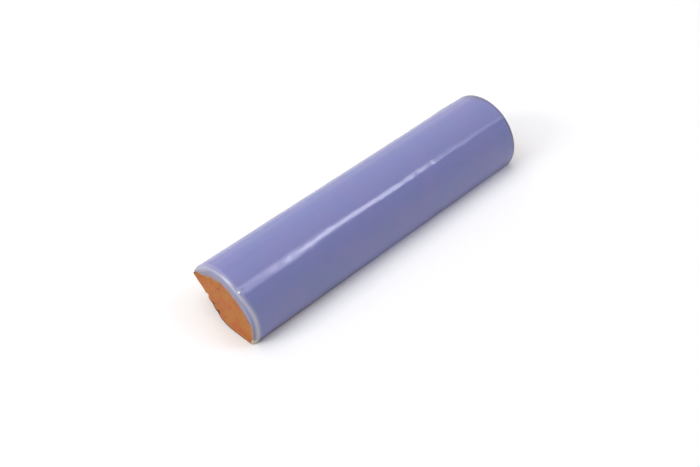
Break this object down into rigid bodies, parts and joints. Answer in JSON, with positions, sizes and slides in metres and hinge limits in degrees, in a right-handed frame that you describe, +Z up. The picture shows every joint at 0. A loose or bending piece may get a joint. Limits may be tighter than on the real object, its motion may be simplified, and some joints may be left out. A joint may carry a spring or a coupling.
{
  "type": "pencil liner tile",
  "caption": "Slim glazed trim tile: a rounded arch of glaze over a fired clay body with two flat back facets and rounded end arrises.",
  "frame": {"origin": "on the floor, under the middle of the tile's box", "axes": "+X along the tile, -Y towards the side that the glazed arch leans to, +Z up"},
  "size_m": [0.104, 0.025, 0.0185],
  "materials": {
    "lavender_glaze": "glossy"
  },
  "bodies": {
    "root": {"liner_tile": "lavender_glaze"}
  },
  "joints": []
}
